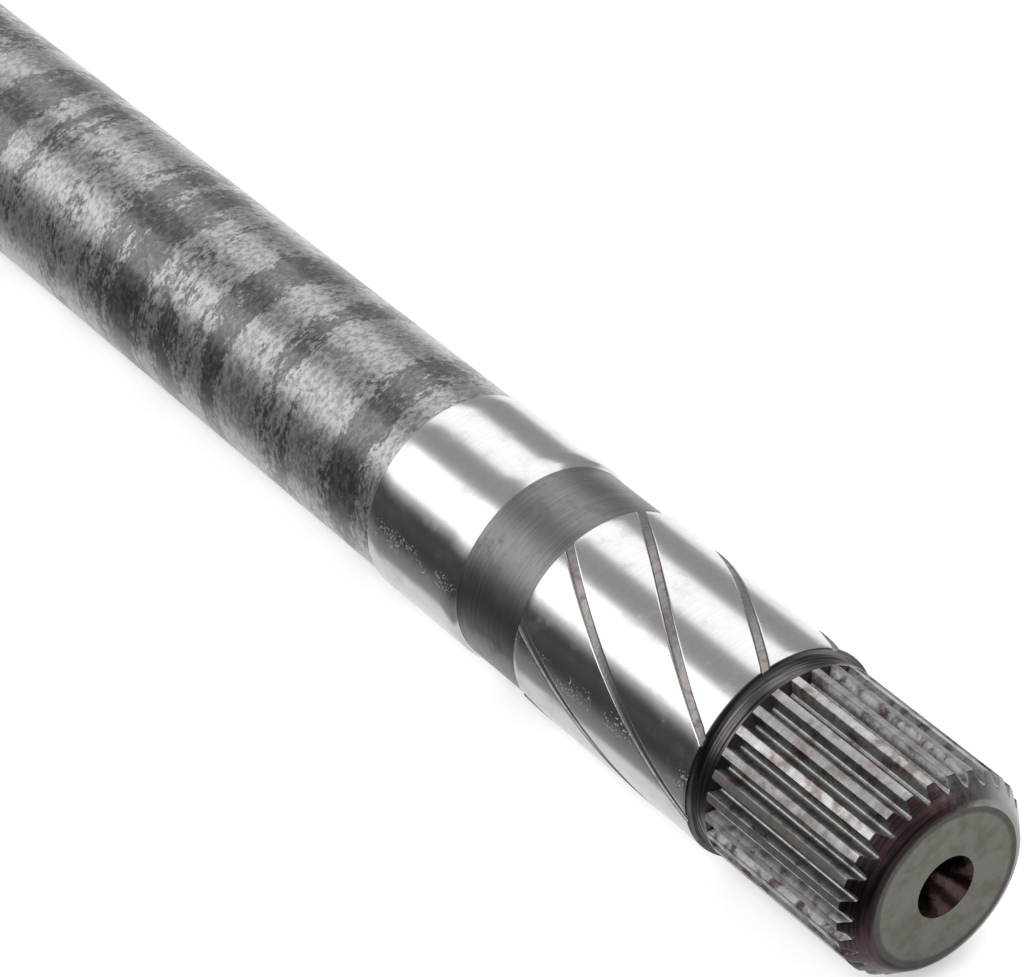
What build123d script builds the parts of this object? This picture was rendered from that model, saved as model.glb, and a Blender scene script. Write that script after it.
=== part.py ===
from build123d import *
import math
import os

# Splined drive shaft: one turned, splined, grooved and ground piece of steel.
# Frame: +X along the axis and out of the splined end, +Z up, origin on the axis at the middle
# of the oil-grooved journal. Millimetres and degrees.

# Diameters
face_dia = 28.4
face_corner_dia = 30.7
journal_dia = 38.1
seat_dia = 38.1
shank_dia = 37.0
recess_dia = 37.0
undercut_dia = 34.6

# Stations along the shaft, each measured from the splined end face
face_corner_end = 0.4
nose_end = 3.9
collar_start = 35.2
collar_end = 35.7
undercut_floor_start = 36.6
undercut_floor_end = 37.6
journal_start = 38.9
journal_end = 83.5
seat_bevel_start = 99.7
seat_start = 100.9
seat_end = 124.3
overall_length = 380.0

edge_break = 0.25
far_chamfer = 1.5
face_corner_radius = 2.0
undercut_wall_radius = 2.0

# Involute spline: 28 teeth, 20/40 diametral pitch, 30 degree pressure angle, full fillet root
tooth_count = 28
spline_module = 25.4 / 20
pressure_angle = 30.0
spline_major_dia = 36.4
flank_foot_dia = 33.8
space_run_out_angle = 56.0
tooth_clocking = 3.4

# Helical oil grooves of the journal, right-handed
groove_count = 8
groove_width = 1.6
groove_floor_width = 1.2
groove_depth = 0.35
groove_helix_angle = 30.0
groove_clocking = 18.1

# Centre drilling of both end faces
centre_mouth_dia = 11.1
centre_cone_angle = 60.0
centre_pilot_dia = 4.8
centre_pilot_depth = 6.0
drill_point_angle = 118.0

# Clearance by which cutting tools overrun the surface that they cut
overrun = 1.0


def along(station):
    """Row X of a station that is measured from the splined end face."""
    return (journal_start + journal_end) / 2 - station


def involute(radius, base_radius):
    """Involute function, in radians, of the pressure angle at a radius."""
    angle = math.acos(base_radius / radius)
    return math.tan(angle) - angle


pitch_radius = spline_module * tooth_count / 2
base_radius = pitch_radius * math.cos(math.radians(pressure_angle))
major_radius = spline_major_dia / 2
foot_radius = flank_foot_dia / 2
tooth_pitch_angle = 360.0 / tooth_count


def half_space(radius):
    """Half of the angle, in radians, that a tooth space spans at a radius."""
    at_pitch = math.pi / (2 * tooth_count)
    return at_pitch - involute(pitch_radius, base_radius) + involute(radius, base_radius)


def flank_point(radius, side):
    """Point of a space's flank in the sketch plane, with the space centred on the X axis."""
    return (radius * math.cos(half_space(radius)), side * radius * math.sin(half_space(radius)))


# Full fillet root: the arc that touches both flanks at their feet
foot_half_width = foot_radius * math.sin(half_space(foot_radius))
foot_slope = math.tan(math.acos(base_radius / foot_radius)) + half_space(foot_radius)
foot_lean = math.atan(foot_slope)
root_fillet = foot_half_width / math.cos(foot_lean)
root_radius = flank_point(foot_radius, 1)[0] + root_fillet * math.sin(foot_lean) - root_fillet

# Turned blank, with every shoulder and undercut in its outline
with BuildPart() as blank:
    with BuildSketch(Plane.XZ):
        with BuildLine():
            Polyline(
                (along(overall_length), 0),
                (along(overall_length), shank_dia / 2 - far_chamfer),
                (along(overall_length - far_chamfer), shank_dia / 2),
                (along(seat_end), shank_dia / 2),
                (along(seat_end), seat_dia / 2 - edge_break),
                (along(seat_end - edge_break), seat_dia / 2),
                (along(seat_start), seat_dia / 2),
                (along(seat_bevel_start), recess_dia / 2),
                (along(journal_end), recess_dia / 2),
                (along(journal_end), journal_dia / 2 - edge_break),
                (along(journal_end - edge_break), journal_dia / 2),
                (along(journal_start + edge_break), journal_dia / 2),
                (along(journal_start), journal_dia / 2 - edge_break),
            )
            RadiusArc(
                (along(journal_start), journal_dia / 2 - edge_break),
                (along(undercut_floor_end), undercut_dia / 2),
                -undercut_wall_radius,
            )
            Polyline(
                (along(undercut_floor_end), undercut_dia / 2),
                (along(undercut_floor_start), undercut_dia / 2),
                (along(collar_end), major_radius),
                (along(nose_end), major_radius),
                (along(face_corner_end), face_corner_dia / 2),
            )
            RadiusArc(
                (along(face_corner_end), face_corner_dia / 2),
                (along(0), face_dia / 2),
                face_corner_radius,
            )
            Polyline((along(0), face_dia / 2), (along(0), 0), (along(overall_length), 0))
        make_face()
    revolve(axis=Axis.X)

# Centre drilling, one at each end: 60 degree cone down to a drilled pilot
cone_depth = (centre_mouth_dia - centre_pilot_dia) / 2 / math.tan(math.radians(centre_cone_angle / 2))
pilot_floor = cone_depth + centre_pilot_depth
drill_tip = pilot_floor + centre_pilot_dia / 2 / math.tan(math.radians(drill_point_angle / 2))
mouth_overrun = overrun * math.tan(math.radians(centre_cone_angle / 2))
with BuildPart() as centre_drill:
    with BuildSketch(Plane.XZ):
        with BuildLine():
            Polyline(
                (along(-overrun), 0),
                (along(-overrun), centre_mouth_dia / 2 + mouth_overrun),
                (along(cone_depth), centre_pilot_dia / 2),
                (along(pilot_floor), centre_pilot_dia / 2),
                (along(drill_tip), 0),
                close=True,
            )
        make_face()
    revolve(axis=Axis.X)

# Tooth space: involute flanks on a full fillet root, open at the top
cutter_radius = major_radius + overrun
middle_radius = (foot_radius + cutter_radius) / 2
with BuildSketch() as tooth_space:
    with BuildLine():
        ThreePointArc(
            flank_point(cutter_radius, 1),
            flank_point(middle_radius, 1),
            flank_point(foot_radius, 1),
        )
        ThreePointArc(
            flank_point(foot_radius, 1),
            (root_radius, 0),
            flank_point(foot_radius, -1),
        )
        ThreePointArc(
            flank_point(foot_radius, -1),
            flank_point(middle_radius, -1),
            flank_point(cutter_radius, -1),
        )
        Line(flank_point(cutter_radius, -1), flank_point(cutter_radius, 1))
    make_face()

# All tooth spaces, each closed by a run-out ramp before the collar
ramp_rise = cutter_radius - root_radius + overrun
ramp_run = ramp_rise / math.tan(math.radians(space_run_out_angle))
ramp_top = collar_start + overrun / math.tan(math.radians(space_run_out_angle))
with BuildPart() as spline_cut:
    with BuildSketch(Plane.YZ.offset(along(ramp_top))):
        with PolarLocations(0, tooth_count, start_angle=tooth_clocking + tooth_pitch_angle / 2):
            add(tooth_space.sketch)
    extrude(amount=ramp_top + overrun)
    with BuildSketch(Plane.XZ):
        with BuildLine():
            Polyline(
                (along(-2 * overrun), root_radius - overrun),
                (along(ramp_top - ramp_run), root_radius - overrun),
                (along(ramp_top), cutter_radius),
                (along(ramp_top), cutter_radius + overrun),
                (along(-2 * overrun), cutter_radius + overrun),
                close=True,
            )
        make_face()
    revolve(axis=Axis.X, mode=Mode.INTERSECT)

# Oil groove: a flat-floored cutter led along a helix, from the undercut into the recess
groove_lead = math.pi * journal_dia / math.tan(math.radians(groove_helix_angle))
groove_run = journal_end - journal_start + 2 * groove_width
groove_wall_spread = (groove_width - groove_floor_width) / 2 / groove_depth
groove_cutter_height = groove_depth + overrun
groove_cutter_half_top = groove_floor_width / 2 + groove_cutter_height * groove_wall_spread
with BuildPart() as oil_groove:
    with BuildLine():
        groove_path = Helix(
            pitch=groove_lead,
            height=groove_run,
            radius=journal_dia / 2 - groove_depth,
            center=(-groove_run / 2, 0, 0),
            direction=(1, 0, 0),
        )
    groove_start = groove_path @ 0
    outwards = (0, groove_start.Y, groove_start.Z)
    with BuildSketch(Plane(origin=groove_start, x_dir=outwards, z_dir=groove_path % 0)):
        with BuildLine():
            Polyline(
                (0, -groove_floor_width / 2),
                (groove_cutter_height, -groove_cutter_half_top),
                (groove_cutter_height, groove_cutter_half_top),
                (0, groove_floor_width / 2),
                close=True,
            )
        make_face()
    sweep(path=groove_path, is_frenet=True)

# Turn that brings the middle of the first groove to its clocking, then one turn for each groove
middle_of_groove = groove_path @ 0.5
first_turn = groove_clocking - math.degrees(math.atan2(middle_of_groove.Z, middle_of_groove.Y))
groove_turns = [first_turn + 360.0 * turn / groove_count for turn in range(groove_count)]

with BuildPart() as splined_shaft:
    add(blank.part)
    add(spline_cut.part, mode=Mode.SUBTRACT)
    add(centre_drill.part, mode=Mode.SUBTRACT)
    add(centre_drill.part.mirror(Plane.YZ.offset(along(overall_length / 2))), mode=Mode.SUBTRACT)
    with Locations(*[Rotation(turn, 0, 0) for turn in groove_turns]):
        add(oil_groove.part, mode=Mode.SUBTRACT)

splined_shaft.part.label = "splined_shaft"
os.makedirs("parts", exist_ok=True)
export_step(splined_shaft.part, "parts/splined_shaft.step")
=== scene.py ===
import logging
import math
from dataclasses import dataclass
from enum import Enum

import bpy
import numpy as np
from mathutils import Matrix, Vector


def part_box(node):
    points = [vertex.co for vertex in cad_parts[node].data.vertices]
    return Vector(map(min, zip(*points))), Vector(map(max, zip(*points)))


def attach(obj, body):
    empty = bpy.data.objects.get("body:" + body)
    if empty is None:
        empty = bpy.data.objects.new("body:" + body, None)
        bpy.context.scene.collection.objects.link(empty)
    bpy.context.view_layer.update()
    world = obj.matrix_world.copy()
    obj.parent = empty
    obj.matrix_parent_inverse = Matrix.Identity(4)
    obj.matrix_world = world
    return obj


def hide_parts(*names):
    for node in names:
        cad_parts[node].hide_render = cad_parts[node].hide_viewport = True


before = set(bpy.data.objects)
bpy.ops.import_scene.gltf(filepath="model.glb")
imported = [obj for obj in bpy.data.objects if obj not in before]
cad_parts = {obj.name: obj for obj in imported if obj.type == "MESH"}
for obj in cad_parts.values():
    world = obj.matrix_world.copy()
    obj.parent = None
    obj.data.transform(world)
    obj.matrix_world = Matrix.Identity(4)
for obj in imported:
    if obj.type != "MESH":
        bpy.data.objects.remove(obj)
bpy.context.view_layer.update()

# Splined drive shaft in its row frame: +X along the axis and out of the splined end, +Z up,
# origin on the axis at the middle of the oil-grooved journal. Metres and degrees.
# A station is a distance along the shaft from the splined end face.

MM = 0.001
NODE = "splined_shaft"
BODY = "root"
SURFACE = NODE + "_surface"

log = logging.getLogger(NODE)

Socket = bpy.types.NodeSocket
Colour = tuple[float, float, float]
Scale = tuple[float, float, float]
Limits = tuple[float, float]
Outline = list[tuple[float, float]]

WHITE: Colour = (1.0, 1.0, 1.0)

# Sockets of the Mix node that carry colours
MIX_A, MIX_B, MIX_RESULT = 6, 7, 2


class Zone(Enum):
    """Surface zones of the shaft, in the order of its material slots."""

    CENTRE_HOLE = 0
    END_FACE = 1
    NOSE = 2
    TOOTH_LAND = 3
    TOOTH_FLANK = 4
    TOOTH_ROOT = 5
    RUN_OUT = 6
    UNDERCUT = 7
    JOURNAL = 8
    OIL_GROOVE = 9
    RECESS = 10
    SEAT = 11
    SHANK = 12


def place(name: str, data: bpy.types.ID) -> bpy.types.Object:
    """Make an object and put it in the scene.

    Args:
        name: Name of the object.
        data: Its mesh, light or camera.

    Returns:
        The object.
    """
    item = bpy.data.objects.new(name, data)
    bpy.context.scene.collection.objects.link(item)
    return item


class Graph:
    """Node graph of one metal, with one method for each kind of node that it needs."""

    def __init__(self, name: str, metallic: float) -> None:
        """Make a metal with an empty graph.

        Args:
            name: Name of the material.
            metallic: Share of metal, from 0 to 1.
        """
        self.material = bpy.data.materials.new(name)
        self.material.use_nodes = True
        self.nodes = self.material.node_tree.nodes
        self.links = self.material.node_tree.links
        self.shader = self.nodes["Principled BSDF"]
        self.shader.inputs["Metallic"].default_value = metallic
        self.place = self.nodes.new("ShaderNodeTexCoord").outputs["Object"]

    def feed(self, socket: Socket, value: Socket | float | Colour) -> None:
        """Link an input, or set it to a constant.

        Args:
            socket: The input.
            value: An output socket, a number or a colour.
        """
        if isinstance(value, Socket):
            self.links.new(value, socket)
        elif isinstance(value, tuple):
            socket.default_value = (*value, 1.0)
        else:
            socket.default_value = value

    def maths(self, operation: str, a: Socket | float, b: Socket | float = 0.0) -> Socket:
        """One Math node.

        Args:
            operation: Name of the operation.
            a: First operand.
            b: Second operand.

        Returns:
            The result.
        """
        node = self.nodes.new("ShaderNodeMath")
        node.operation = operation
        self.feed(node.inputs[0], a)
        self.feed(node.inputs[1], b)
        return node.outputs[0]

    def noise(self, cells: Scale, detail: float = 3.0, rough: float = 0.55) -> Socket:
        """Noise with its own cell size along each axis.

        Args:
            cells: Cells per metre along X, Y and Z.
            detail: Octaves.
            rough: Weight of the finer octaves.

        Returns:
            Noise from 0 to 1.
        """
        stretch = self.nodes.new("ShaderNodeVectorMath")
        stretch.operation = "MULTIPLY"
        self.feed(stretch.inputs[0], self.place)
        stretch.inputs[1].default_value = cells
        node = self.nodes.new("ShaderNodeTexNoise")
        node.inputs["Scale"].default_value = 1.0
        node.inputs["Detail"].default_value = detail
        node.inputs["Roughness"].default_value = rough
        self.feed(node.inputs["Vector"], stretch.outputs[0])
        return node.outputs["Fac"]

    def even_noise(self, cells: float, detail: float = 3.0, rough: float = 0.55) -> Socket:
        """Noise with the same number of cells per metre along each axis."""
        return self.noise((cells, cells, cells), detail, rough)

    def step(self, value: Socket, low: float, high: float,
             below: float = 0.0, above: float = 1.0) -> Socket:
        """Smooth step between two limits.

        Args:
            value: What is stepped.
            low: Where the step starts.
            high: Where the step ends.
            below: Result before the step.
            above: Result after the step.

        Returns:
            The stepped value.
        """
        node = self.nodes.new("ShaderNodeMapRange")
        node.interpolation_type = "SMOOTHSTEP"
        self.feed(node.inputs["Value"], value)
        node.inputs["From Min"].default_value = low
        node.inputs["From Max"].default_value = high
        node.inputs["To Min"].default_value = below
        node.inputs["To Max"].default_value = above
        return node.outputs["Result"]

    def mix(self, share: Socket | float, a: Socket | Colour, b: Socket | Colour) -> Socket:
        """Mix two colours.

        Args:
            share: Share of the second colour.
            a: First colour.
            b: Second colour.

        Returns:
            The mixed colour.
        """
        node = self.nodes.new("ShaderNodeMix")
        node.data_type = "RGBA"
        self.feed(node.inputs[0], share)
        self.feed(node.inputs[MIX_A], a)
        self.feed(node.inputs[MIX_B], b)
        return node.outputs[MIX_RESULT]

    def axes(self) -> tuple[Socket, Socket, Socket]:
        """Object position split into X, Y and Z, in metres."""
        node = self.nodes.new("ShaderNodeSeparateXYZ")
        self.feed(node.inputs[0], self.place)
        return node.outputs[0], node.outputs[1], node.outputs[2]

    def radius(self) -> Socket:
        """Distance from the shaft's axis, in metres."""
        _, y, z = self.axes()
        squares = self.maths("ADD", self.maths("MULTIPLY", y, y), self.maths("MULTIPLY", z, z))
        return self.maths("SQRT", squares)

    def relief(self, height: Socket, depth: float) -> None:
        """Add relief under the relief that the surface already has.

        Args:
            height: Relief from 0 to 1.
            depth: Depth of the whole relief, in metres.
        """
        node = self.nodes.new("ShaderNodeBump")
        node.inputs["Distance"].default_value = depth
        self.feed(node.inputs["Height"], height)
        normal = self.shader.inputs["Normal"]
        if normal.is_linked:
            self.feed(node.inputs["Normal"], normal.links[0].from_socket)
        self.feed(normal, node.outputs["Normal"])

    def dress(self, colour: Socket | Colour, roughness: Socket | float) -> bpy.types.Material:
        """Feed colour and roughness to the shader.

        Args:
            colour: Base colour.
            roughness: Roughness.

        Returns:
            The finished material.
        """
        self.feed(self.shader.inputs["Base Color"], colour)
        self.feed(self.shader.inputs["Roughness"], roughness)
        return self.material


@dataclass(frozen=True)
class MachinedSteel:
    """Steel with the marks of a lathe or a grinding wheel, which run round the shaft."""

    name: str
    colour: Colour
    stain: Colour
    roughness: float
    stain_size: float = 4 * MM
    stain_from: float = 0.45
    stain_to: float = 0.75
    stain_roughening: float = 1.35
    mark_pitch: float = 0.25 * MM
    mark_depth: float = 0.0
    mark_shade: float = 0.1
    mark_reach: float = 12 * MM
    mark_limits: Limits = (0.35, 0.65)
    grain_size: float = 0.5 * MM
    grain_depth: float = 0.0
    metallic: float = 1.0
    nicks_from: float = 0.0
    nicks_to: float = 0.0
    nick_size: float = 0.42 * MM
    nick_depth: float = 30e-6
    nick_colour: Colour = (0.75, 0.74, 0.70)
    nick_limits: Limits = (0.60, 0.66)
    nick_group_cells: float = 300.0
    nick_group_limits: Limits = (0.42, 0.55)
    strip_edge: float = 0.6 * MM

    def marks(self, graph: Graph) -> Socket:
        """Uneven rings whose pitch is the tool's feed.

        Args:
            graph: Graph that they are added to.

        Returns:
            Height of the rings, from 0 to 1.
        """
        around = 1 / self.mark_reach
        return graph.noise((1 / self.mark_pitch, around, around), detail=2.0)

    def nicks(self, graph: Graph) -> Socket:
        """Handling nicks, in a strip along the -Y side between two heights.

        Args:
            graph: Graph that they are added to.

        Returns:
            Share of nicked metal, from 0 to 1.
        """
        _, side, height = graph.axes()
        above = graph.step(height, self.nicks_from - self.strip_edge, self.nicks_from)
        below = graph.step(height, self.nicks_to, self.nicks_to + self.strip_edge, below=1.0, above=0.0)
        near = graph.step(side, -self.strip_edge, 0.0, below=1.0, above=0.0)
        strip = graph.maths("MULTIPLY", graph.maths("MULTIPLY", above, below), near)
        specks = graph.step(graph.even_noise(1 / self.nick_size, detail=2.0), *self.nick_limits)
        groups = graph.step(graph.even_noise(self.nick_group_cells, detail=1.0), *self.nick_group_limits)
        return graph.maths("MULTIPLY", strip, graph.maths("MULTIPLY", specks, groups))

    def build(self) -> bpy.types.Material:
        """Make the material.

        Returns:
            The material.
        """
        graph = Graph(self.name, self.metallic)
        stains = graph.even_noise(1 / self.stain_size, detail=5.0, rough=0.65)
        stained = graph.step(stains, self.stain_from, self.stain_to)
        marks = self.marks(graph)
        dark = tuple(channel * (1 - 2 * self.mark_shade) for channel in self.colour)
        ringed = graph.mix(graph.step(marks, *self.mark_limits), dark, self.colour)
        colour = graph.mix(stained, ringed, self.stain)
        rough = graph.step(stained, 0.0, 1.0, self.roughness, self.roughness * self.stain_roughening)
        if self.mark_depth:
            graph.relief(marks, self.mark_depth)
        if self.grain_depth:
            graph.relief(graph.even_noise(1 / self.grain_size, detail=4.0), self.grain_depth)
        if self.nicks_to > self.nicks_from:
            nicks = self.nicks(graph)
            graph.relief(nicks, -self.nick_depth)
            colour = graph.mix(nicks, colour, self.nick_colour)
        return graph.dress(colour, rough)


@dataclass(frozen=True)
class BlackenedSteel(MachinedSteel):
    """Heat-blackened steel, with a painted sheen that lightens its +Y side where the light falls."""

    # Painted sheen: the lighter colour of the +Y side and how far it reaches, a painted highlight where
    # light falls.
    painted_sheen: Colour = (0.20, 0.195, 0.19)
    sheen_from: float = -2 * MM
    sheen_to: float = 12 * MM
    ragged_bump_cells: float = 500.0
    sheen_edge_reach: float = 12 * MM
    ragged_bump_depth: float = 15e-6

    def build(self) -> bpy.types.Material:
        """Make the material.

        Returns:
            The material.
        """
        graph = Graph(self.name, self.metallic)
        _, side, _ = graph.axes()
        # Painted sheen: the +Y side is painted lighter, as where light falls, behind a ragged edge. The
        # same noise also gives small bumps.
        ragged_bumps = graph.even_noise(self.ragged_bump_cells, detail=5.0, rough=0.65)
        ragged = graph.maths("MULTIPLY", graph.maths("SUBTRACT", ragged_bumps, 0.5), self.sheen_edge_reach)
        sheen_share = graph.step(graph.maths("ADD", side, ragged), self.sheen_from, self.sheen_to)
        marks = self.marks(graph)
        black = graph.mix(graph.step(marks, *self.mark_limits), self.stain, self.colour)
        graph.relief(marks, self.mark_depth)
        graph.relief(ragged_bumps, self.ragged_bump_depth)
        return graph.dress(graph.mix(sheen_share, black, self.painted_sheen), self.roughness)


@dataclass(frozen=True)
class RibbedSteel(MachinedSteel):
    """Tooth lands, which keep the even feed ribs of the turned blank."""

    rib_height: float = 0.32
    wander_cells: float = 60.0
    uneven_cells: Scale = (900.0, 250.0, 250.0)

    def marks(self, graph: Graph) -> Socket:
        """Even ribs, one for each turn of the lathe.

        Args:
            graph: Graph that they are added to.

        Returns:
            Height of the ribs, from 0 to 1.
        """
        along, _, _ = graph.axes()
        wander = graph.even_noise(self.wander_cells, detail=2.0)
        turns = graph.maths("ADD", graph.maths("MULTIPLY", along, 1 / self.mark_pitch), wander)
        wave = graph.maths("SINE", graph.maths("MULTIPLY", turns, math.tau))
        uneven = graph.noise(self.uneven_cells, detail=2.0)
        return graph.maths("ADD", graph.maths("MULTIPLY", wave, self.rib_height), uneven)


@dataclass(frozen=True)
class FacedSteel:
    """Faced end of the shaft: a worn middle inside a bluish ring, with a few pits."""

    name: str
    middle: Colour
    middle_other: Colour
    ring: Colour
    ring_radius: float
    roughness: float
    metallic: float = 1.0
    ring_fade: float = 0.35 * MM
    groove_pitch: float = 0.3 * MM
    groove_depth: float = 2e-6
    mottle_cells: float = 300.0
    mottle_limits: Limits = (0.35, 0.7)
    mottle_roughening: float = 1.3
    pit_size: float = 1.3 * MM
    pit_depth: float = 60e-6
    pit_limits: Limits = (0.22, 0.3)

    def build(self) -> bpy.types.Material:
        """Make the material.

        Returns:
            The material.
        """
        graph = Graph(self.name, self.metallic)
        patches = graph.even_noise(self.mottle_cells, detail=6.0, rough=0.65)
        mottle = graph.step(patches, *self.mottle_limits)
        reach = graph.radius()
        outside = graph.step(reach, self.ring_radius - self.ring_fade, self.ring_radius + self.ring_fade)
        colour = graph.mix(outside, graph.mix(mottle, self.middle, self.middle_other), self.ring)
        rings = graph.maths("SINE", graph.maths("MULTIPLY", reach, math.tau / self.groove_pitch))
        graph.relief(graph.maths("MULTIPLY", rings, 0.5), self.groove_depth)
        pits = graph.step(graph.even_noise(1 / self.pit_size, detail=1.0), *self.pit_limits)
        graph.relief(pits, self.pit_depth)
        rough = graph.step(mottle, 0.0, 1.0, self.roughness, self.roughness * self.mottle_roughening)
        return graph.dress(colour, rough)


@dataclass(frozen=True)
class ScaledSteel:
    """Rolled bar with its scale on: dark, flaked, and banded round the bar."""

    name: str
    scale: Colour
    scale_other: Colour
    flake: Colour
    flake_other: Colour
    roughness: float
    metallic: float = 0.75
    oil: float = 0.4
    oil_roughness: float = 0.24
    oil_index: float = 2.0
    band_pitch: float = 9 * MM
    band_reach: float = 60 * MM
    streak_pitch: float = 0.3 * MM
    streaks_per_band: float = 8.0
    streak_weight: float = 0.2
    flake_size: float = 3.0 * MM
    flake_stretch: float = 2.0
    flake_limits: Limits = (1.26, 1.34)
    flake_polish: float = 0.8
    grain_size: float = 0.9 * MM
    grain_squash: float = 0.6
    grain_weight: float = 0.45
    speckle_limits: Limits = (0.42, 0.58)
    streak_depth: float = 8e-6
    relief_depth: float = 45e-6
    grain_depth: float = 30e-6

    def build(self) -> bpy.types.Material:
        """Make the material.

        Returns:
            The material.
        """
        graph = Graph(self.name, self.metallic)
        around = 1 / self.band_reach
        bands = graph.noise((1 / self.band_pitch, around, around), detail=2.0, rough=0.5)
        short = around * self.streaks_per_band
        streaks = graph.noise((1 / self.streak_pitch, short, short), detail=3.0, rough=0.6)
        cell = 1 / self.flake_size
        across = cell / self.flake_stretch
        patches = graph.noise((cell, across, across), detail=8.0, rough=0.8)
        grain = 1 / self.grain_size
        squashed = grain * self.grain_squash
        grains = graph.noise((grain, squashed, squashed), detail=5.0, rough=0.75)
        crumbs = graph.maths("ADD", graph.maths("MULTIPLY", streaks, self.streak_weight),
                             graph.maths("MULTIPLY", grains, self.grain_weight))
        pile = graph.maths("ADD", graph.maths("ADD", bands, patches), crumbs)
        flaked = graph.step(pile, *self.flake_limits)
        speckled = graph.step(grains, *self.speckle_limits)
        dark = graph.mix(speckled, self.scale, self.scale_other)
        light = graph.mix(speckled, self.flake_other, self.flake)
        graph.relief(streaks, self.streak_depth)
        graph.relief(patches, self.relief_depth)
        graph.relief(grains, self.grain_depth)
        rough = graph.step(flaked, 0.0, 1.0, self.roughness, self.roughness * self.flake_polish)
        film = {"Coat Weight": self.oil, "Coat Roughness": self.oil_roughness, "Coat IOR": self.oil_index}
        for name, value in film.items():
            graph.feed(graph.shader.inputs[name], value)
        return graph.dress(graph.mix(flaked, dark, light), rough)


@dataclass(frozen=True)
class FloorPaper:
    """Matt white paper on a table that is lit from below."""

    name: str = "white_paper"
    white: Colour = (0.90, 0.90, 0.895)
    shade: Colour = (0.88, 0.88, 0.88)
    roughness: float = 0.9
    glow: float = 0.32
    fibre_cells: float = 40.0

    def build(self) -> bpy.types.Material:
        """Make the material.

        Returns:
            The material.
        """
        graph = Graph(self.name, 0.0)
        fibre = graph.even_noise(self.fibre_cells)
        graph.feed(graph.shader.inputs["Emission Color"], WHITE)
        graph.shader.inputs["Emission Strength"].default_value = self.glow
        return graph.dress(graph.mix(fibre, self.white, self.shade), self.roughness)


def arc(start: tuple[float, float], end: tuple[float, float], bend: float, parts: int) -> Outline:
    """Points of a circular arc between two points of an outline, without the first.

    Args:
        start: Station and radius of the first point.
        end: Station and radius of the last point.
        bend: Radius of the arc; positive bulges away from the shaft's axis.
        parts: Number of chords.

    Returns:
        The points.
    """
    first, last = Vector(start), Vector(end)
    chord = last - first
    outward = Vector((-chord.y, chord.x)).normalized()
    rise = math.sqrt(bend * bend - chord.length_squared / 4)
    centre = (first + last) / 2 - outward * math.copysign(rise, bend)
    spoke = first - centre
    step = -spoke.angle_signed(last - centre) / parts
    return [tuple(centre + Matrix.Rotation(step * part, 2) @ spoke) for part in range(1, parts + 1)]


def run(start: tuple[float, float], end: tuple[float, float], parts: int) -> Outline:
    """Evenly spaced points of a straight stretch of an outline, without the first.

    Args:
        start: Station and radius of the first point.
        end: Station and radius of the last point.
        parts: Number of stretches.

    Returns:
        The points.
    """
    first, last = Vector(start), Vector(end)
    return [tuple(first.lerp(last, (part + 1) / parts)) for part in range(parts)]


@dataclass
class Spline:
    """Involute teeth of 20/40 diametral pitch, on a full fillet root, behind a nose chamfer."""

    teeth: int = 28
    module: float = 25.4 / 20 * MM
    pressure_angle: float = 30.0
    major_radius: float = 18.2 * MM
    foot_radius: float = 16.9 * MM
    edge: float = 0.07 * MM
    clocking: float = 3.4
    land_parts: int = 2
    flank_parts: int = 4
    root_parts: int = 4

    def __post_init__(self) -> None:
        """Work out the base circle and the fillet of the root."""
        self.pitch_radius = self.module * self.teeth / 2
        self.base_radius = self.pitch_radius * math.cos(math.radians(self.pressure_angle))
        half = self.half_space(self.foot_radius)
        slope = math.tan(math.acos(self.base_radius / self.foot_radius)) + half
        self.lean = math.atan(slope)
        self.fillet = self.foot_radius * math.sin(half) / math.cos(self.lean)
        self.fillet_centre = self.foot_radius * math.cos(half) + self.fillet * math.sin(self.lean)

    def involute(self, radius: float) -> float:
        """Involute function of the pressure angle at a radius."""
        angle = math.acos(self.base_radius / radius)
        return math.tan(angle) - angle

    def half_space(self, radius: float) -> float:
        """Half of the angle, in radians, that a tooth space spans at a radius."""
        return math.pi / (2 * self.teeth) - self.involute(self.pitch_radius) + self.involute(radius)

    def half_tooth(self) -> list[tuple[float, float]]:
        """Half of a tooth, from the middle of its land to the middle of the space.

        Returns:
            Angle from the land's middle, in degrees, and radius, in metres, of each point.
        """
        half_pitch = math.pi / self.teeth
        land_edge = half_pitch - self.half_space(self.major_radius) - self.edge / self.major_radius
        points = [(land_edge * part / self.land_parts, self.major_radius)
                  for part in range(self.land_parts + 1)]
        top = self.major_radius - self.edge
        for part in range(self.flank_parts):
            radius = top + (self.foot_radius - top) * part / (self.flank_parts - 1)
            points.append((half_pitch - self.half_space(radius), radius))
        for part in range(1, self.root_parts + 1):
            swing = self.lean + (math.pi / 2 - self.lean) * part / self.root_parts
            out = self.fillet_centre - self.fillet * math.sin(swing)
            aside = self.fillet * math.cos(swing)
            points.append((half_pitch - math.atan2(aside, out), math.hypot(aside, out)))
        return [(math.degrees(angle), radius) for angle, radius in points]

    def columns(self) -> tuple[np.ndarray, np.ndarray, list[Zone]]:
        """Angle, radius and zone of each mesh column round the whole spline.

        Returns:
            Angles in degrees, radii in metres, and the zone between each column and the next.
        """
        half = self.half_tooth()
        flank_start, flank_end = self.land_parts, self.land_parts + self.flank_parts
        steps = list(range(-len(half) + 1, len(half) - 1))
        angles, radii, zones = [], [], []
        for tooth in range(self.teeth):
            for step in steps:
                angle, radius = half[abs(step)]
                angles.append(self.clocking + 360 * tooth / self.teeth + math.copysign(angle, step))
                radii.append(radius)
                place = min(abs(step), abs(step + 1))
                if place < flank_start:
                    zones.append(Zone.TOOTH_LAND)
                elif place < flank_end:
                    zones.append(Zone.TOOTH_FLANK)
                else:
                    zones.append(Zone.TOOTH_ROOT)
        return np.array(angles), np.array(radii), zones


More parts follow.
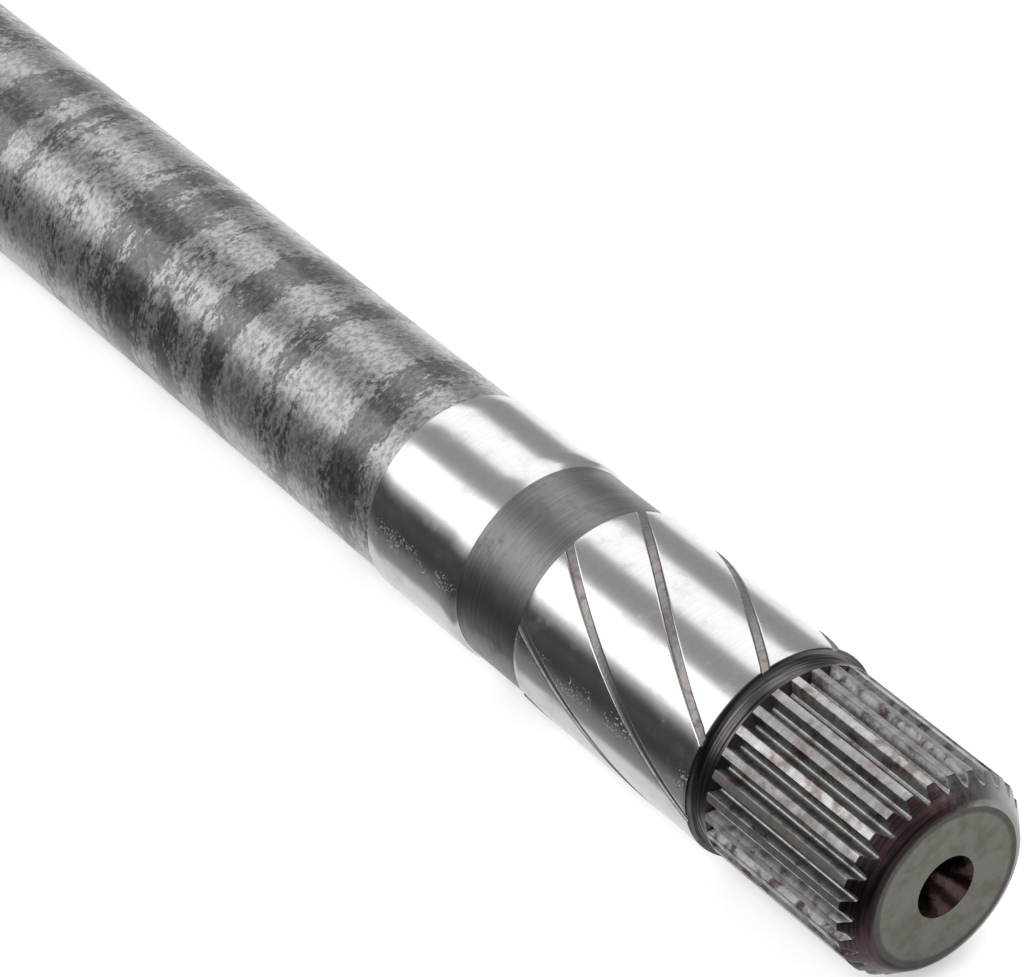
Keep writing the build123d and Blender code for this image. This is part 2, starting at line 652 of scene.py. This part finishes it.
@dataclass
class OilGrooves:
    """Shallow flat-floored grooves that wind round the journal."""

    count: int = 8
    width: float = 1.6 * MM
    floor_width: float = 1.2 * MM
    depth: float = 0.35 * MM
    helix_angle: float = 30.0
    clocking: float = 18.1
    journal_radius: float = 19.05 * MM
    edge: float = 0.06 * MM
    corner_start: float = 0.88
    corner_depth: float = 0.95

    def degrees(self, width: float) -> float:
        """Angle round the journal that a width across a groove spans."""
        return math.degrees(width / math.cos(math.radians(self.helix_angle)) / self.journal_radius)

    def twist(self) -> float:
        """Degrees that a groove turns in a metre along the shaft."""
        return math.degrees(math.tan(math.radians(self.helix_angle)) / self.journal_radius)

    def columns(self, total: int) -> tuple[np.ndarray, np.ndarray, list[Zone]]:
        """Angle, depth and zone of each mesh column, counted from the middle of a groove.

        Args:
            total: Number of columns round the journal.

        Returns:
            Angles in degrees, depths in metres, and the zone between each column and the next.
        """
        floor, top = self.degrees(self.floor_width / 2), self.degrees(self.width / 2)
        brim = top + self.degrees(self.edge)
        half = [(0.0, 1.0), (floor / 2, 1.0), (floor * self.corner_start, 1.0),
                (floor, self.corner_depth), (top, self.edge / self.depth / 2)]
        walls = len(half) - 1
        reach, steps = 180 / self.count, total // self.count // 2
        plain = steps - len(half)
        half += [(brim + (reach - brim) * part / plain, 0.0) for part in range(plain + 1)]
        angles, depths, zones = [], [], []
        for groove in range(self.count):
            for step in range(steps * 2):
                signed = step if step < steps else step - 2 * steps
                angle, share = half[abs(signed)]
                turn = 0 if step < steps else 360 / self.count
                angles.append(360 * groove / self.count + turn + math.copysign(angle, signed))
                depths.append(share * self.depth)
                place = min(abs(signed), abs(signed + 1))
                zones.append(Zone.OIL_GROOVE if place < walls else Zone.JOURNAL)
        return np.array(angles), np.array(depths), zones


@dataclass
class ShaftBody:
    """The whole shaft as one closed mesh: turned outline, spline teeth, oil grooves, centre holes."""

    front: float
    length: float
    spline: Spline
    grooves: OilGrooves
    coarse: int = 140
    fine_factor: int = 4

    face_radius: float = 14.2 * MM
    corner_station: float = 0.4 * MM
    corner_radius: float = 15.35 * MM
    corner_bend: float = 2.0 * MM
    nose_end: float = 3.9 * MM
    collar_start: float = 35.2 * MM
    collar_end: float = 35.7 * MM
    floor_start: float = 36.6 * MM
    floor_end: float = 37.6 * MM
    undercut_radius: float = 17.3 * MM
    undercut_bend: float = 2.0 * MM
    journal_start: float = 38.9 * MM
    journal_end: float = 83.5 * MM
    recess_radius: float = 18.5 * MM
    bevel_start: float = 99.7 * MM
    seat_start: float = 100.9 * MM
    seat_end: float = 124.3 * MM
    seat_radius: float = 19.05 * MM
    shank_radius: float = 18.5 * MM
    edge_break: float = 0.25 * MM
    run_out_angle: float = 56.0
    far_chamfer: float = 1.5 * MM
    mouth_radius: float = 5.55 * MM
    pilot_radius: float = 2.4 * MM
    pilot_depth: float = 6.0 * MM
    cone_angle: float = 60.0
    drill_angle: float = 118.0
    small_edge: float = 0.06 * MM
    rim_width: float = 0.3 * MM
    tip_softening: float = 0.02 * MM
    least_ramp: float = 0.05 * MM
    nose_shares: tuple[float, ...] = (0.35, 0.7, 0.97)
    tooth_shares: tuple[float, ...] = (0.005, 0.1, 0.25, 0.4, 0.55, 0.7, 0.85, 1.0)
    climb_shares: tuple[float, ...] = (0.33, 0.66, 1.0)
    journal_parts: int = 40
    shank_parts: int = 150

    bar_unevenness: float = 0.05 * MM
    wave_pitch: float = 9 * MM
    waves: tuple[tuple[int, float], ...] = ((2, 1.0), (5, -1.7), (3, 2.9))
    wave_fade: float = 6 * MM
    sharp_angle: float = 28.0

    def __post_init__(self) -> None:
        """Start with no vertices and no faces."""
        self.points: list[np.ndarray] = []
        self.faces: list[tuple[int, ...]] = []
        self.zones: list[int] = []
        self.total = 0
        self.fine = self.coarse * self.fine_factor

    def ring(self, stations: np.ndarray | float, radii: np.ndarray | float, angles: np.ndarray) -> int:
        """Add one ring of vertices.

        Args:
            stations: Station of each vertex, or of all.
            radii: Radius of each vertex, or of all.
            angles: Angle of each vertex from +Y towards +Z, in degrees.

        Returns:
            Index of the ring's first vertex.
        """
        turn = np.radians(angles)
        across, up = radii * np.cos(turn), radii * np.sin(turn)
        places = np.stack(np.broadcast_arrays(self.front - stations, across, up), -1)
        self.points.append(places)
        self.total += len(places)
        return self.total - len(places)

    def grow(self, last: int, stations: np.ndarray | float, radii: np.ndarray | float,
             angles: np.ndarray, zones: Zone | list[Zone]) -> int:
        """Add a ring and join it to the last one by quads.

        Args:
            last: First vertex of the last ring, which has as many vertices.
            stations: Station of each vertex, or of all.
            radii: Radius of each vertex, or of all.
            angles: Angle of each vertex, in degrees.
            zones: Zone of each quad, or of all.

        Returns:
            Index of the new ring's first vertex.
        """
        new = self.ring(stations, radii, angles)
        size = len(angles)
        for k in range(size):
            after = (k + 1) % size
            self.faces.append((last + k, new + k, new + after, last + after))
            self.zones.append((zones if isinstance(zones, Zone) else zones[k]).value)
        return new

    def gather(self, few: int, many: int, zone: Zone, few_first: bool) -> None:
        """Join a coarse ring to a fine one by fans of triangles.

        Args:
            few: First vertex of the coarse ring.
            many: First vertex of the fine ring.
            zone: Zone of the triangles.
            few_first: Whether the coarse ring is nearer the splined end's hole.
        """
        half = self.fine_factor // 2
        for k in range(self.coarse):
            after = (k + 1) % self.coarse
            start = k * self.fine_factor
            rim = [many + (start + j) % self.fine for j in range(self.fine_factor + 1)]
            fans = [(few + k, rim[j], rim[j + 1]) for j in range(half)]
            fans.append((few + k, rim[half], few + after))
            fans += [(few + after, rim[j], rim[j + 1]) for j in range(half, self.fine_factor)]
            self.faces += fans if few_first else [tuple(reversed(fan)) for fan in fans]
            self.zones += [zone.value] * len(fans)

    def tip(self, place: float, ring: int, front: bool) -> None:
        """Close a drilled pilot with its point.

        Args:
            place: Station of the point.
            ring: First vertex of the ring round it.
            front: Whether this is the splined end's pilot.
        """
        self.points.append(np.array([[self.front - place, 0.0, 0.0]]))
        point = self.total
        self.total += 1
        for k in range(self.coarse):
            pair = (ring + k, ring + (k + 1) % self.coarse)
            self.faces.append((point, *pair) if front else (point, pair[1], pair[0]))
            self.zones.append(Zone.CENTRE_HOLE.value)

    def hole_outline(self) -> Outline:
        """Centre hole from its drilled point out to the mouth, as depth and radius.

        Returns:
            The points; the first is on the axis.
        """
        cone = (self.mouth_radius - self.pilot_radius) / math.tan(math.radians(self.cone_angle / 2))
        floor = cone + self.pilot_depth
        drilled = floor + self.pilot_radius / math.tan(math.radians(self.drill_angle / 2))
        points = [(drilled, 0.0), (floor, self.pilot_radius)]
        brim = (self.small_edge, self.mouth_radius - self.small_edge / 2)
        points += run(points[-1], (cone, self.pilot_radius), parts=3)
        points += run((cone, self.pilot_radius), brim, parts=4)
        return points + [(0.0, self.mouth_radius + self.small_edge / 3)]

    def coarse_angles(self, offset: float) -> np.ndarray:
        """Even angles of a coarse ring, in degrees, from an offset."""
        return offset + np.arange(self.coarse) * 360 / self.coarse

    def add_front(self, offset: float) -> int:
        """Centre hole and end face of the splined end.

        Args:
            offset: Angle of the first column, in degrees.

        Returns:
            First vertex of the coarse ring near the face's rim.
        """
        angles = self.coarse_angles(offset)
        hole = self.hole_outline()
        last = self.ring(*hole[1], angles)
        self.tip(hole[0][0], last, True)
        for station, radius in hole[2:]:
            last = self.grow(last, station, radius, angles, Zone.CENTRE_HOLE)
        for _, radius in run((0.0, self.mouth_radius), (0.0, self.face_radius - self.rim_width), parts=8):
            last = self.grow(last, 0.0, radius, angles, Zone.END_FACE)
        return last

    def nose_station(self, radii: np.ndarray) -> np.ndarray:
        """Stations where the nose cone cuts columns of given radii."""
        share = (radii - self.corner_radius) / (self.spline.major_radius - self.corner_radius)
        return self.corner_station + share * (self.nose_end - self.corner_station)

    def add_toothed(self, last: int, angles: np.ndarray, radii: np.ndarray,
                    zones: list[Zone]) -> int:
        """Rim, nose chamfer, teeth and run-outs.

        Args:
            last: First vertex of the coarse ring near the face's rim.
            angles: Angle of each fine column.
            radii: Radius of each fine column.
            zones: Zone of each fine column.

        Returns:
            First vertex of the ring where the run-outs end.
        """
        rim = self.ring(0.0, self.face_radius, angles)
        self.gather(last, rim, Zone.END_FACE, True)
        last = rim
        corner = (self.corner_station, self.corner_radius)
        for station, radius in arc((0.0, self.face_radius), corner, self.corner_bend, parts=4):
            last = self.grow(last, station, radius, angles, Zone.NOSE)
        nose = self.nose_station(radii)
        slope = math.tan(math.radians(self.run_out_angle))
        ramp = self.collar_start - np.maximum((self.spline.major_radius - radii) / slope, self.least_ramp)
        for share in self.nose_shares:
            last = self.grow(last, self.corner_station + share * (nose - self.corner_station),
                             self.corner_radius + share * (radii - self.corner_radius), angles,
                             Zone.NOSE)
        last = self.grow(last, nose, radii - self.tip_softening, angles, Zone.NOSE)
        for share in self.tooth_shares:
            last = self.grow(last, nose + share * (ramp - nose), radii, angles, zones)
        top = self.spline.major_radius
        climb = [Zone.TOOTH_LAND if zone is Zone.TOOTH_LAND else Zone.RUN_OUT for zone in zones]
        for share in self.climb_shares:
            last = self.grow(last, ramp + share * (self.collar_start - ramp),
                             radii + share * (top - radii), angles, climb)
        return last

    def undercut_outline(self) -> Outline:
        """Collar, undercut and the front edge of the journal.

        Returns:
            The points.
        """
        top, edge = self.spline.major_radius, self.small_edge
        collar = (self.collar_end - edge, top)
        foot = (self.floor_start, self.undercut_radius)
        wall = (self.floor_end, self.undercut_radius)
        brim = (self.journal_start, self.seat_radius - self.edge_break)
        points = run((self.collar_start, top), collar, parts=2)
        points += run((self.collar_end, top - edge), foot, parts=3)
        points.append(wall)
        points += list(reversed([brim] + arc(brim, wall, self.undercut_bend, parts=5)[:-1]))
        full = (self.journal_start + self.edge_break, self.seat_radius)
        return points + arc(brim, full, self.edge_break, parts=3)

    def add_undercut(self, last: int, angles: np.ndarray, target: np.ndarray,
                     depths: np.ndarray) -> int:
        """Collar and undercut, over which the columns move from the teeth's angles to the grooves'.

        Args:
            last: First vertex of the ring where the run-outs end.
            angles: Angles of the teeth's columns.
            target: Angles of the grooves' columns.
            depths: Depth of each groove column.

        Returns:
            First vertex of the ring where the journal starts.
        """
        for station, radius in self.undercut_outline():
            share = min(1.0, max(0.0, (station - self.collar_end) / (self.floor_end - self.collar_end)))
            mixed = angles + share * (target - angles)
            cut = np.minimum(radius, self.seat_radius - depths)
            last = self.grow(last, station, cut, mixed, Zone.UNDERCUT)
        return last

    def add_journal(self, last: int, target: np.ndarray, depths: np.ndarray,
                    zones: list[Zone]) -> tuple[int, float]:
        """Journal and its grooves, and the step down to the recess.

        Args:
            last: First vertex of the ring where the journal starts.
            target: Angles of the columns at the journal's start.
            depths: Depth of each groove column.
            zones: Zone of each groove column.

        Returns:
            First vertex of the last fine ring, and the angle of its first column.
        """
        start = self.journal_start + self.edge_break
        stop = self.journal_end - self.edge_break
        twist = self.grooves.twist()
        for part in range(1, self.journal_parts + 1):
            station = start + (stop - start) * part / self.journal_parts
            turned = target - twist * (station - self.journal_start)
            last = self.grow(last, station, self.seat_radius - depths, turned, zones)
        brim = (self.journal_end, self.seat_radius - self.edge_break)
        turned = target - twist * (self.journal_end - self.journal_start)
        for station, radius in arc((stop, self.seat_radius), brim, self.edge_break, parts=3):
            cut = np.minimum(radius, self.seat_radius - depths)
            last = self.grow(last, station, cut, turned, zones)
        return last, float(turned[0])

    def rear_outline(self) -> Outline:
        """Outline from the recess to the far face.

        Returns:
            The points.
        """
        edge, small = self.edge_break, self.small_edge
        recess, seat, bar = self.recess_radius, self.seat_radius, self.shank_radius
        points = [(self.journal_end, recess + small), (self.journal_end + small, recess)]
        points += run(points[-1], (self.bevel_start, recess), parts=8)
        points += run(points[-1], (self.seat_start, seat - small / 2), parts=2)
        points.append((self.seat_start + small, seat))
        points += run(points[-1], (self.seat_end - edge, seat), parts=8)
        points += arc(points[-1], (self.seat_end, seat - edge), edge, parts=3)
        points += [(self.seat_end, bar + small), (self.seat_end + small, bar)]
        points += run(points[-1], (self.length - self.far_chamfer, bar), self.shank_parts)
        return points + [(self.length, bar - self.far_chamfer)]

    def rear_zone(self, station: float) -> Zone:
        """Zone of the band that ends at a station behind the journal.

        Args:
            station: The station.

        Returns:
            The zone.
        """
        if station <= self.bevel_start:
            return Zone.RECESS
        if station <= self.seat_end:
            return Zone.SEAT
        return Zone.SHANK

    def bar_radius(self, station: float, radius: float, angles: np.ndarray) -> np.ndarray:
        """Radius round the rolled bar, whose surface is slightly uneven.

        Args:
            station: Station of the ring.
            radius: Nominal radius.
            angles: Angles of the ring, in degrees.

        Returns:
            Radius of each vertex, never over the nominal one.
        """
        turn, along = np.radians(angles), station / self.wave_pitch
        height = sum(np.sin(turns * turn + drift * along) for turns, drift in self.waves)
        fade = min(1.0, max(0.0, (station - self.seat_end) / self.wave_fade))
        most = len(self.waves)
        return radius - fade * self.bar_unevenness * (height + most) / (2 * most)

    def add_rear(self, last: int, offset: float) -> None:
        """Recess, seal seat, rolled bar, far face and far centre hole.

        Args:
            last: First vertex of the last fine ring.
            offset: Angle of the first column, in degrees.
        """
        angles = self.coarse_angles(offset)
        start, *others = self.rear_outline()
        foot = self.ring(*start, angles)
        self.gather(foot, last, Zone.RECESS, False)
        last = foot
        for station, radius in others:
            uneven = self.bar_radius(station, radius, angles)
            last = self.grow(last, station, uneven, angles, self.rear_zone(station))
        hole = self.hole_outline()
        for depth, radius in reversed(hole[1:]):
            zone = Zone.END_FACE if depth == 0.0 else Zone.CENTRE_HOLE
            last = self.grow(last, self.length - depth, radius, angles, zone)
        self.tip(self.length - hole[0][0], last, False)

    def build(self) -> bpy.types.Object:
        """Make the shaft's mesh object.

        Returns:
            The object, with the zone of each face as its material index.
        """
        angles, radii, tooth_zones = self.spline.columns()
        groove_angles, depths, groove_zones = self.grooves.columns(self.fine)
        middle = self.grooves.clocking + self.grooves.twist() * (self.front - self.journal_start)
        first_groove = middle % (360 / self.grooves.count)
        shift = round((first_groove - angles[0]) / (360 / self.fine))
        target = np.roll(groove_angles, shift) + first_groove
        target = np.where(np.arange(self.fine) < shift, target - 360, target)
        depths = np.roll(depths, shift)
        groove_zones = groove_zones[-shift:] + groove_zones[:-shift] if shift else groove_zones
        last = self.add_front(float(angles[0]))
        last = self.add_toothed(last, angles, radii, tooth_zones)
        last = self.add_undercut(last, angles, target, depths)
        last, offset = self.add_journal(last, target, depths, groove_zones)
        self.add_rear(last, offset)
        mesh = bpy.data.meshes.new(SURFACE)
        mesh.from_pydata(np.concatenate(self.points).tolist(), [], self.faces)
        mesh.polygons.foreach_set("material_index", self.zones)
        mesh.shade_smooth()
        mesh.set_sharp_from_angle(angle=math.radians(self.sharp_angle))
        mesh.validate()
        return place(SURFACE, mesh)

    def finishes(self) -> dict[Zone, MachinedSteel | FacedSteel | ScaledSteel]:
        """Choose the finish of each zone.

        Returns:
            The finish by zone.
        """
        ground = dict(colour=(0.47, 0.465, 0.465), stain=(0.41, 0.40, 0.395), roughness=0.21,
                      mark_pitch=0.12 * MM, mark_depth=0.3e-6, mark_shade=0.03,
                      nicks_from=1.6 * MM, nicks_to=4.6 * MM)
        return {
            Zone.CENTRE_HOLE: MachinedSteel(
                "drilled_steel", colour=(0.035, 0.022, 0.02), stain=(0.012, 0.008, 0.008),
                roughness=0.2, grain_size=1.5 * MM, grain_depth=90e-6),
            Zone.END_FACE: FacedSteel(
                "faced_steel", middle=(0.11, 0.11, 0.10), middle_other=(0.10, 0.093, 0.07),
                ring=(0.05, 0.05, 0.045), ring_radius=13.1 * MM, roughness=0.4),
            Zone.NOSE: BlackenedSteel(
                "blackened_nose", colour=(0.05, 0.03, 0.03), stain=(0.015, 0.012, 0.012),
                roughness=0.34, mark_depth=6e-6),
            Zone.TOOTH_LAND: RibbedSteel(
                "ribbed_land", colour=(0.43, 0.42, 0.42), stain=(0.20, 0.17, 0.15),
                roughness=0.4, stain_size=3 * MM, stain_from=0.45, stain_to=0.66,
                mark_pitch=0.24 * MM, mark_depth=9e-6, mark_shade=0.28,
                grain_size=0.8 * MM, grain_depth=12e-6),
            Zone.TOOTH_FLANK: MachinedSteel(
                "hobbed_flank", colour=(0.19, 0.195, 0.19), stain=(0.055, 0.04, 0.038),
                roughness=0.38, stain_size=3 * MM, stain_from=0.44, stain_to=0.66,
                mark_pitch=0.5 * MM, mark_depth=6e-6, grain_depth=8e-6),
            Zone.TOOTH_ROOT: MachinedSteel(
                "hobbed_root", colour=(0.24, 0.24, 0.235), stain=(0.09, 0.07, 0.065),
                roughness=0.34, stain_size=3 * MM, mark_pitch=0.5 * MM, mark_depth=4e-6),
            Zone.RUN_OUT: MachinedSteel(
                "cutter_run_out", colour=(0.06, 0.045, 0.045), stain=(0.03, 0.03, 0.03),
                roughness=0.3),
            Zone.UNDERCUT: MachinedSteel(
                "turned_undercut", colour=(0.13, 0.12, 0.115), stain=(0.03, 0.024, 0.022),
                roughness=0.3, stain_size=9 * MM, mark_pitch=0.22 * MM, mark_depth=9e-6,
                mark_shade=0.4),
            Zone.JOURNAL: MachinedSteel("ground_journal", **ground),
            Zone.OIL_GROOVE: MachinedSteel(
                "milled_groove", colour=(0.23, 0.22, 0.215), stain=(0.13, 0.115, 0.11),
                roughness=0.42, stain_size=1.4 * MM, grain_depth=8e-6),
            Zone.RECESS: MachinedSteel(
                "turned_recess", colour=(0.165, 0.158, 0.16), stain=(0.12, 0.113, 0.11),
                roughness=0.4, mark_pitch=0.22 * MM, mark_depth=6e-6, mark_shade=0.12,
                grain_size=0.6 * MM, grain_depth=3e-6),
            Zone.SEAT: MachinedSteel("ground_seat", **ground),
            Zone.SHANK: ScaledSteel(
                "rolled_scale", scale=(0.028, 0.025, 0.022), scale_other=(0.085, 0.078, 0.073),
                flake=(0.25, 0.245, 0.232), flake_other=(0.12, 0.116, 0.108), roughness=0.46),
        }

    def dress(self, shaft: bpy.types.Object) -> None:
        """Give each zone its finish.

        Args:
            shaft: The shaft's object.
        """
        finishes = self.finishes()
        for zone in Zone:
            shaft.data.materials.append(finishes[zone].build())


@dataclass(frozen=True)
class SoftBox:
    """A long light beside the shaft, which the ground bands mirror as a bright stripe.

    Its direction and half angle are seen from the shaft's axis, from +Y towards +Z.
    """

    name: str
    direction: float
    half_angle: float
    radiance: float
    distance: float = 1.6
    centre: float = -1.1
    length: float = 5.0

    def build(self) -> bpy.types.Object:
        """Make the light.

        Returns:
            The light's object.
        """
        turn = math.radians(self.direction)
        outward = Vector((0.0, math.cos(turn), math.sin(turn)))
        data = bpy.data.lights.new(self.name, "AREA")
        data.shape = "RECTANGLE"
        data.size = self.length
        data.size_y = 2 * self.distance * math.tan(math.radians(self.half_angle))
        data.energy = self.radiance * math.pi * data.size * data.size_y
        light = place(self.name, data)
        light.location = outward * self.distance + Vector((self.centre, 0.0, 0.0))
        light.rotation_euler = (turn - math.pi / 2, 0.0, 0.0)
        return light


@dataclass(frozen=True)
class DarkCard:
    """Black card, folded up from the floor, that only the steel's reflections see."""

    name: str
    floor_height: float
    near: float = -27 * MM
    fade_end: float = -62 * MM
    far: float = -0.6
    rise: float = 0.12
    back: float = -3.5
    front: float = 1.4
    gap: float = 0.3 * MM
    black: Colour = (0.02, 0.018, 0.016)
    grey: Colour = (0.32, 0.34, 0.33)

    def build(self) -> bpy.types.Object:
        """Make the card.

        Returns:
            The card's object.
        """
        foot = self.floor_height + self.gap
        fold = [(self.near, foot), (self.far, foot), (self.far, self.rise)]
        points = [(x, y, z) for y, z in fold for x in (self.back, self.front)]
        mesh = bpy.data.meshes.new(self.name)
        mesh.from_pydata(points, [], [(0, 1, 3, 2), (2, 3, 5, 4)])
        graph = Graph("black_card", 0.0)
        _, side, _ = graph.axes()
        fade = graph.step(side, self.fade_end, self.near)
        mesh.materials.append(graph.dress(graph.mix(fade, self.black, self.grey), 1.0))
        card = place(self.name, mesh)
        card.visible_camera = False
        card.visible_shadow = False
        card.visible_diffuse = False
        return card


@dataclass
class Studio:
    """Pale floor, soft lights and the camera."""

    floor_height: float
    front: float
    floor_reach: float = 3.0
    world_radiance: float = 0.5
    key_direction: float = 138.5
    key_half_angle: float = 21.0
    key_radiance: float = 2.3
    second_direction: float = 63.5
    second_half_angle: float = 20.0
    second_radiance: float = 1.7
    azimuth: float = 53.33
    elevation: float = 36.22
    lens: float = 152.2
    sensor: float = 36.0
    distance: float = 0.7266
    aim_station: float = 116.0 * MM
    aim_side: float = 4.95 * MM
    aim_height: float = 4.04 * MM
    clip_start: float = 0.01

    def add_floor(self) -> None:
        """Lay the paper under the shaft."""
        reach = self.floor_reach
        corners = [(-reach, -reach), (reach, -reach), (reach, reach), (-reach, reach)]
        mesh = bpy.data.meshes.new("floor")
        mesh.from_pydata([(x, y, self.floor_height) for x, y in corners], [], [(0, 1, 2, 3)])
        mesh.materials.append(FloorPaper().build())
        floor = place("floor", mesh)

    def add_world(self) -> None:
        """Even light from all sides."""
        world = bpy.data.worlds.new("studio")
        world.use_nodes = True
        light = world.node_tree.nodes["Background"]
        light.inputs["Color"].default_value = (*WHITE, 1.0)
        light.inputs["Strength"].default_value = self.world_radiance
        bpy.context.scene.world = world

    def add_camera(self) -> None:
        """Place the camera at the product view."""
        data = bpy.data.cameras.new("camera")
        data.sensor_fit = "HORIZONTAL"
        data.sensor_width = self.sensor
        data.lens = self.lens
        data.clip_start = self.clip_start
        turn, lift = math.radians(self.azimuth), math.radians(self.elevation)
        level = Vector((-math.sin(turn), math.cos(turn), 0.0))
        forward = level * math.cos(lift) - Vector((0.0, 0.0, math.sin(lift)))
        aim = Vector((self.front - self.aim_station, self.aim_side, self.aim_height))
        camera = place("camera", data)
        camera.location = aim - forward * self.distance
        camera.rotation_euler = (math.pi / 2 - lift, 0.0, turn)
        bpy.context.scene.camera = camera

    def build(self) -> None:
        """Set up the whole studio."""
        self.add_floor()
        self.add_world()
        self.add_camera()
        SoftBox("key_box", self.key_direction, self.key_half_angle, self.key_radiance).build()
        SoftBox("second_box", self.second_direction, self.second_half_angle, self.second_radiance).build()
        DarkCard("side_card", self.floor_height).build()
        bpy.context.scene.view_settings.view_transform = "Standard"


def main() -> None:
    """Build the shaft and its studio in order."""
    logging.basicConfig(level=logging.INFO, format="%(name)s: %(message)s")
    low, high = (Vector(corner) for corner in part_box(NODE))
    body = ShaftBody(front=high.x, length=high.x - low.x, spline=Spline(), grooves=OilGrooves())
    shaft = body.build()
    body.dress(shaft)
    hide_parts(NODE)
    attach(shaft, BODY)
    log.info("%s: %d vertices, %d faces", shaft.name, len(shaft.data.vertices), len(shaft.data.polygons))
    Studio(floor_height=low.z, front=high.x).build()
    log.info("studio ready")


if __name__ == "__main__":
    main()
